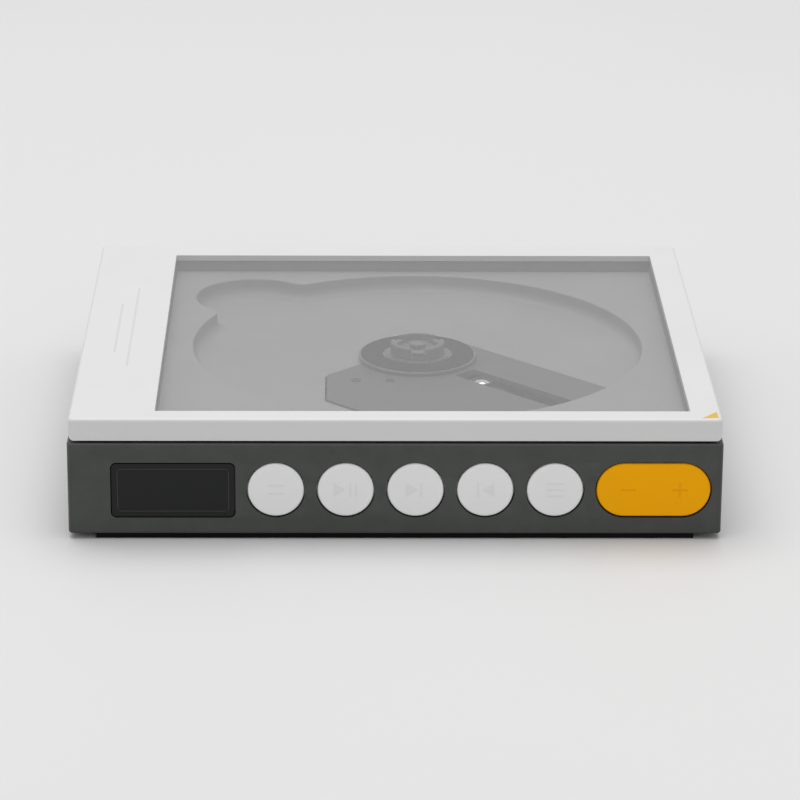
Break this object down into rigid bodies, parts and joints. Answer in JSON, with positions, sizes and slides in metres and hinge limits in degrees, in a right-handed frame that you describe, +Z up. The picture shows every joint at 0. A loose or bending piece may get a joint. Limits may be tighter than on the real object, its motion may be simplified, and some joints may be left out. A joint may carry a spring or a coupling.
{
  "type": "portable cd player",
  "caption": "Flat rectangular disc player with a dark case, hinged pale lid with a square clear window, round front buttons, a volume rocker and a small display.",
  "frame": {"origin": "centre of the bounding box's bottom face, where the feet stand", "axes": "+Z up, -Y towards the button face, +X to the right seen from the front"},
  "size_m": [0.168, 0.151, 0.0327],
  "materials": {
    "dark_case": "fine matt moulding",
    "deck_plastic": "satin mid grey",
    "lid_plastic": "satin pale warm grey paint",
    "clear_window": "polished clear sheet",
    "button_plastic": "satin pale grey",
    "orange_plastic": "satin orange yellow",
    "display_black": "polished black",
    "rubber_black": "soft matt",
    "bright_steel": "polished",
    "brushed_steel": "drawn",
    "board_green": "solder mask",
    "chip_black": "moulded epoxy",
    "battery_wrap": "heat-shrunk film",
    "mechanism_plastic": "glass-filled black-grey",
    "platter_plastic": "satin black",
    "lens_glass": "coated lens",
    "magnet_metal": "nickel plate",
    "brass_screw": "rolled thread"
  },
  "bodies": {
    "case": {"bottom_shell": "dark_case", "deck": "deck_plastic", "case_magnets": "magnet_metal", "rocker_pin": "bright_steel", "rocker_bracket": "dark_case", "front_board": "board_green", "tact_switches": "chip_black", "display_window": "display_black", "display_panel": "chip_black", "main_board": "board_green", "board_chips": "chip_black", "board_capacitors": "brushed_steel", "board_screws": "bright_steel", "battery": "battery_wrap", "headphone_jack": "chip_black", "usb_c_port": "bright_steel", "case_screws": "bright_steel", "rubber_feet": "rubber_black", "traverse_frame": "mechanism_plastic", "guide_rod_main": "bright_steel", "guide_rod_side": "bright_steel", "damper_bushes": "rubber_black", "damper_screws": "bright_steel", "spindle_motor": "brushed_steel", "sled_motor": "brushed_steel"},
    "lid": {"lid_frame": "lid_plastic", "lid_window": "clear_window", "hinge_pin_left": "bright_steel", "hinge_pin_right": "bright_steel", "lid_magnets": "magnet_metal"},
    "rocker": {"volume_rocker": "orange_plastic"},
    "turntable_body": {"motor_shaft": "bright_steel", "turntable": "platter_plastic", "platter_ring": "rubber_black", "centre_hub": "platter_plastic"},
    "sled": {"pickup_sled": "mechanism_plastic"},
    "lens_body": {"lens_holder": "chip_black", "objective_lens": "lens_glass"},
    "screw": {"lead_screw": "brass_screw"},
    "button_1_body": {"button_1": "button_plastic"},
    "button_2_body": {"button_2": "button_plastic"},
    "button_3_body": {"button_3": "button_plastic"},
    "button_4_body": {"button_4": "button_plastic"},
    "button_5_body": {"button_5": "button_plastic"},
    "claw_1_body": {"hub_claw_1": "platter_plastic"},
    "claw_2_body": {"hub_claw_2": "platter_plastic"},
    "claw_3_body": {"hub_claw_3": "platter_plastic"}
  },
  "joints": [
    {"name": "lid_hinge", "type": "hinge", "parent": "case", "child": "lid", "pos_m": [0, 0.0731, 0.0288], "axis": [-1, 0, 0], "range_deg": [0, 78]},
    {"name": "button_1_press", "type": "slide", "parent": "case", "child": "button_1_body", "axis": [0, 1, 0], "range_m": [0, 0.0006], "stiffness_N_per_m": 900, "springref_m": -0.001},
    {"name": "button_2_press", "type": "slide", "parent": "case", "child": "button_2_body", "axis": [0, 1, 0], "range_m": [0, 0.0006], "stiffness_N_per_m": 900, "springref_m": -0.001},
    {"name": "button_3_press", "type": "slide", "parent": "case", "child": "button_3_body", "axis": [0, 1, 0], "range_m": [0, 0.0006], "stiffness_N_per_m": 900, "springref_m": -0.001},
    {"name": "button_4_press", "type": "slide", "parent": "case", "child": "button_4_body", "axis": [0, 1, 0], "range_m": [0, 0.0006], "stiffness_N_per_m": 900, "springref_m": -0.001},
    {"name": "button_5_press", "type": "slide", "parent": "case", "child": "button_5_body", "axis": [0, 1, 0], "range_m": [0, 0.0006], "stiffness_N_per_m": 900, "springref_m": -0.001},
    {"name": "volume_rock", "type": "hinge", "parent": "case", "child": "rocker", "pos_m": [0.0663, -0.07, 0.01355], "axis": [0, 0, 1], "range_deg": [-2.5, 2.5], "stiffness_Nm_per_rad": 0.6},
    {"name": "turntable_spin", "type": "hinge", "parent": "case", "child": "turntable_body", "pos_m": [0.007, 0, 0.0248], "axis": [0, 0, 1], "continuous": true},
    {"name": "hub_claw_1_press", "type": "slide", "parent": "turntable_body", "child": "claw_1_body", "axis": [0, 1, 0], "range_m": [0, 0.0004], "stiffness_N_per_m": 300, "springref_m": -0.0005},
    {"name": "hub_claw_2_press", "type": "slide", "parent": "turntable_body", "child": "claw_2_body", "axis": [-0.866, -0.5, 0], "range_m": [0, 0.0004], "stiffness_N_per_m": 300, "springref_m": -0.0005},
    {"name": "hub_claw_3_press", "type": "slide", "parent": "turntable_body", "child": "claw_3_body", "axis": [0.866, -0.5, 0], "range_m": [0, 0.0004], "stiffness_N_per_m": 300, "springref_m": -0.0005},
    {"name": "sled_travel", "type": "slide", "parent": "case", "child": "sled", "axis": [0.7071, -0.7071, 0], "range_m": [0, 0.031]},
    {"name": "lead_screw_spin", "type": "hinge", "parent": "case", "child": "screw", "pos_m": [0.01407, -0.03535, 0.0155], "axis": [0.7071, -0.7071, 0], "range_deg": [0, 3721]},
    {"name": "lens_focus", "type": "slide", "parent": "sled", "child": "lens_body", "axis": [0, 0, 1], "range_m": [-0.0004, 0.0006], "stiffness_N_per_m": 60}
  ],
  "couplings": [
    {"joint": "lead_screw_spin", "follows": "sled_travel", "rad_per_m": 2094.4}
  ]
}
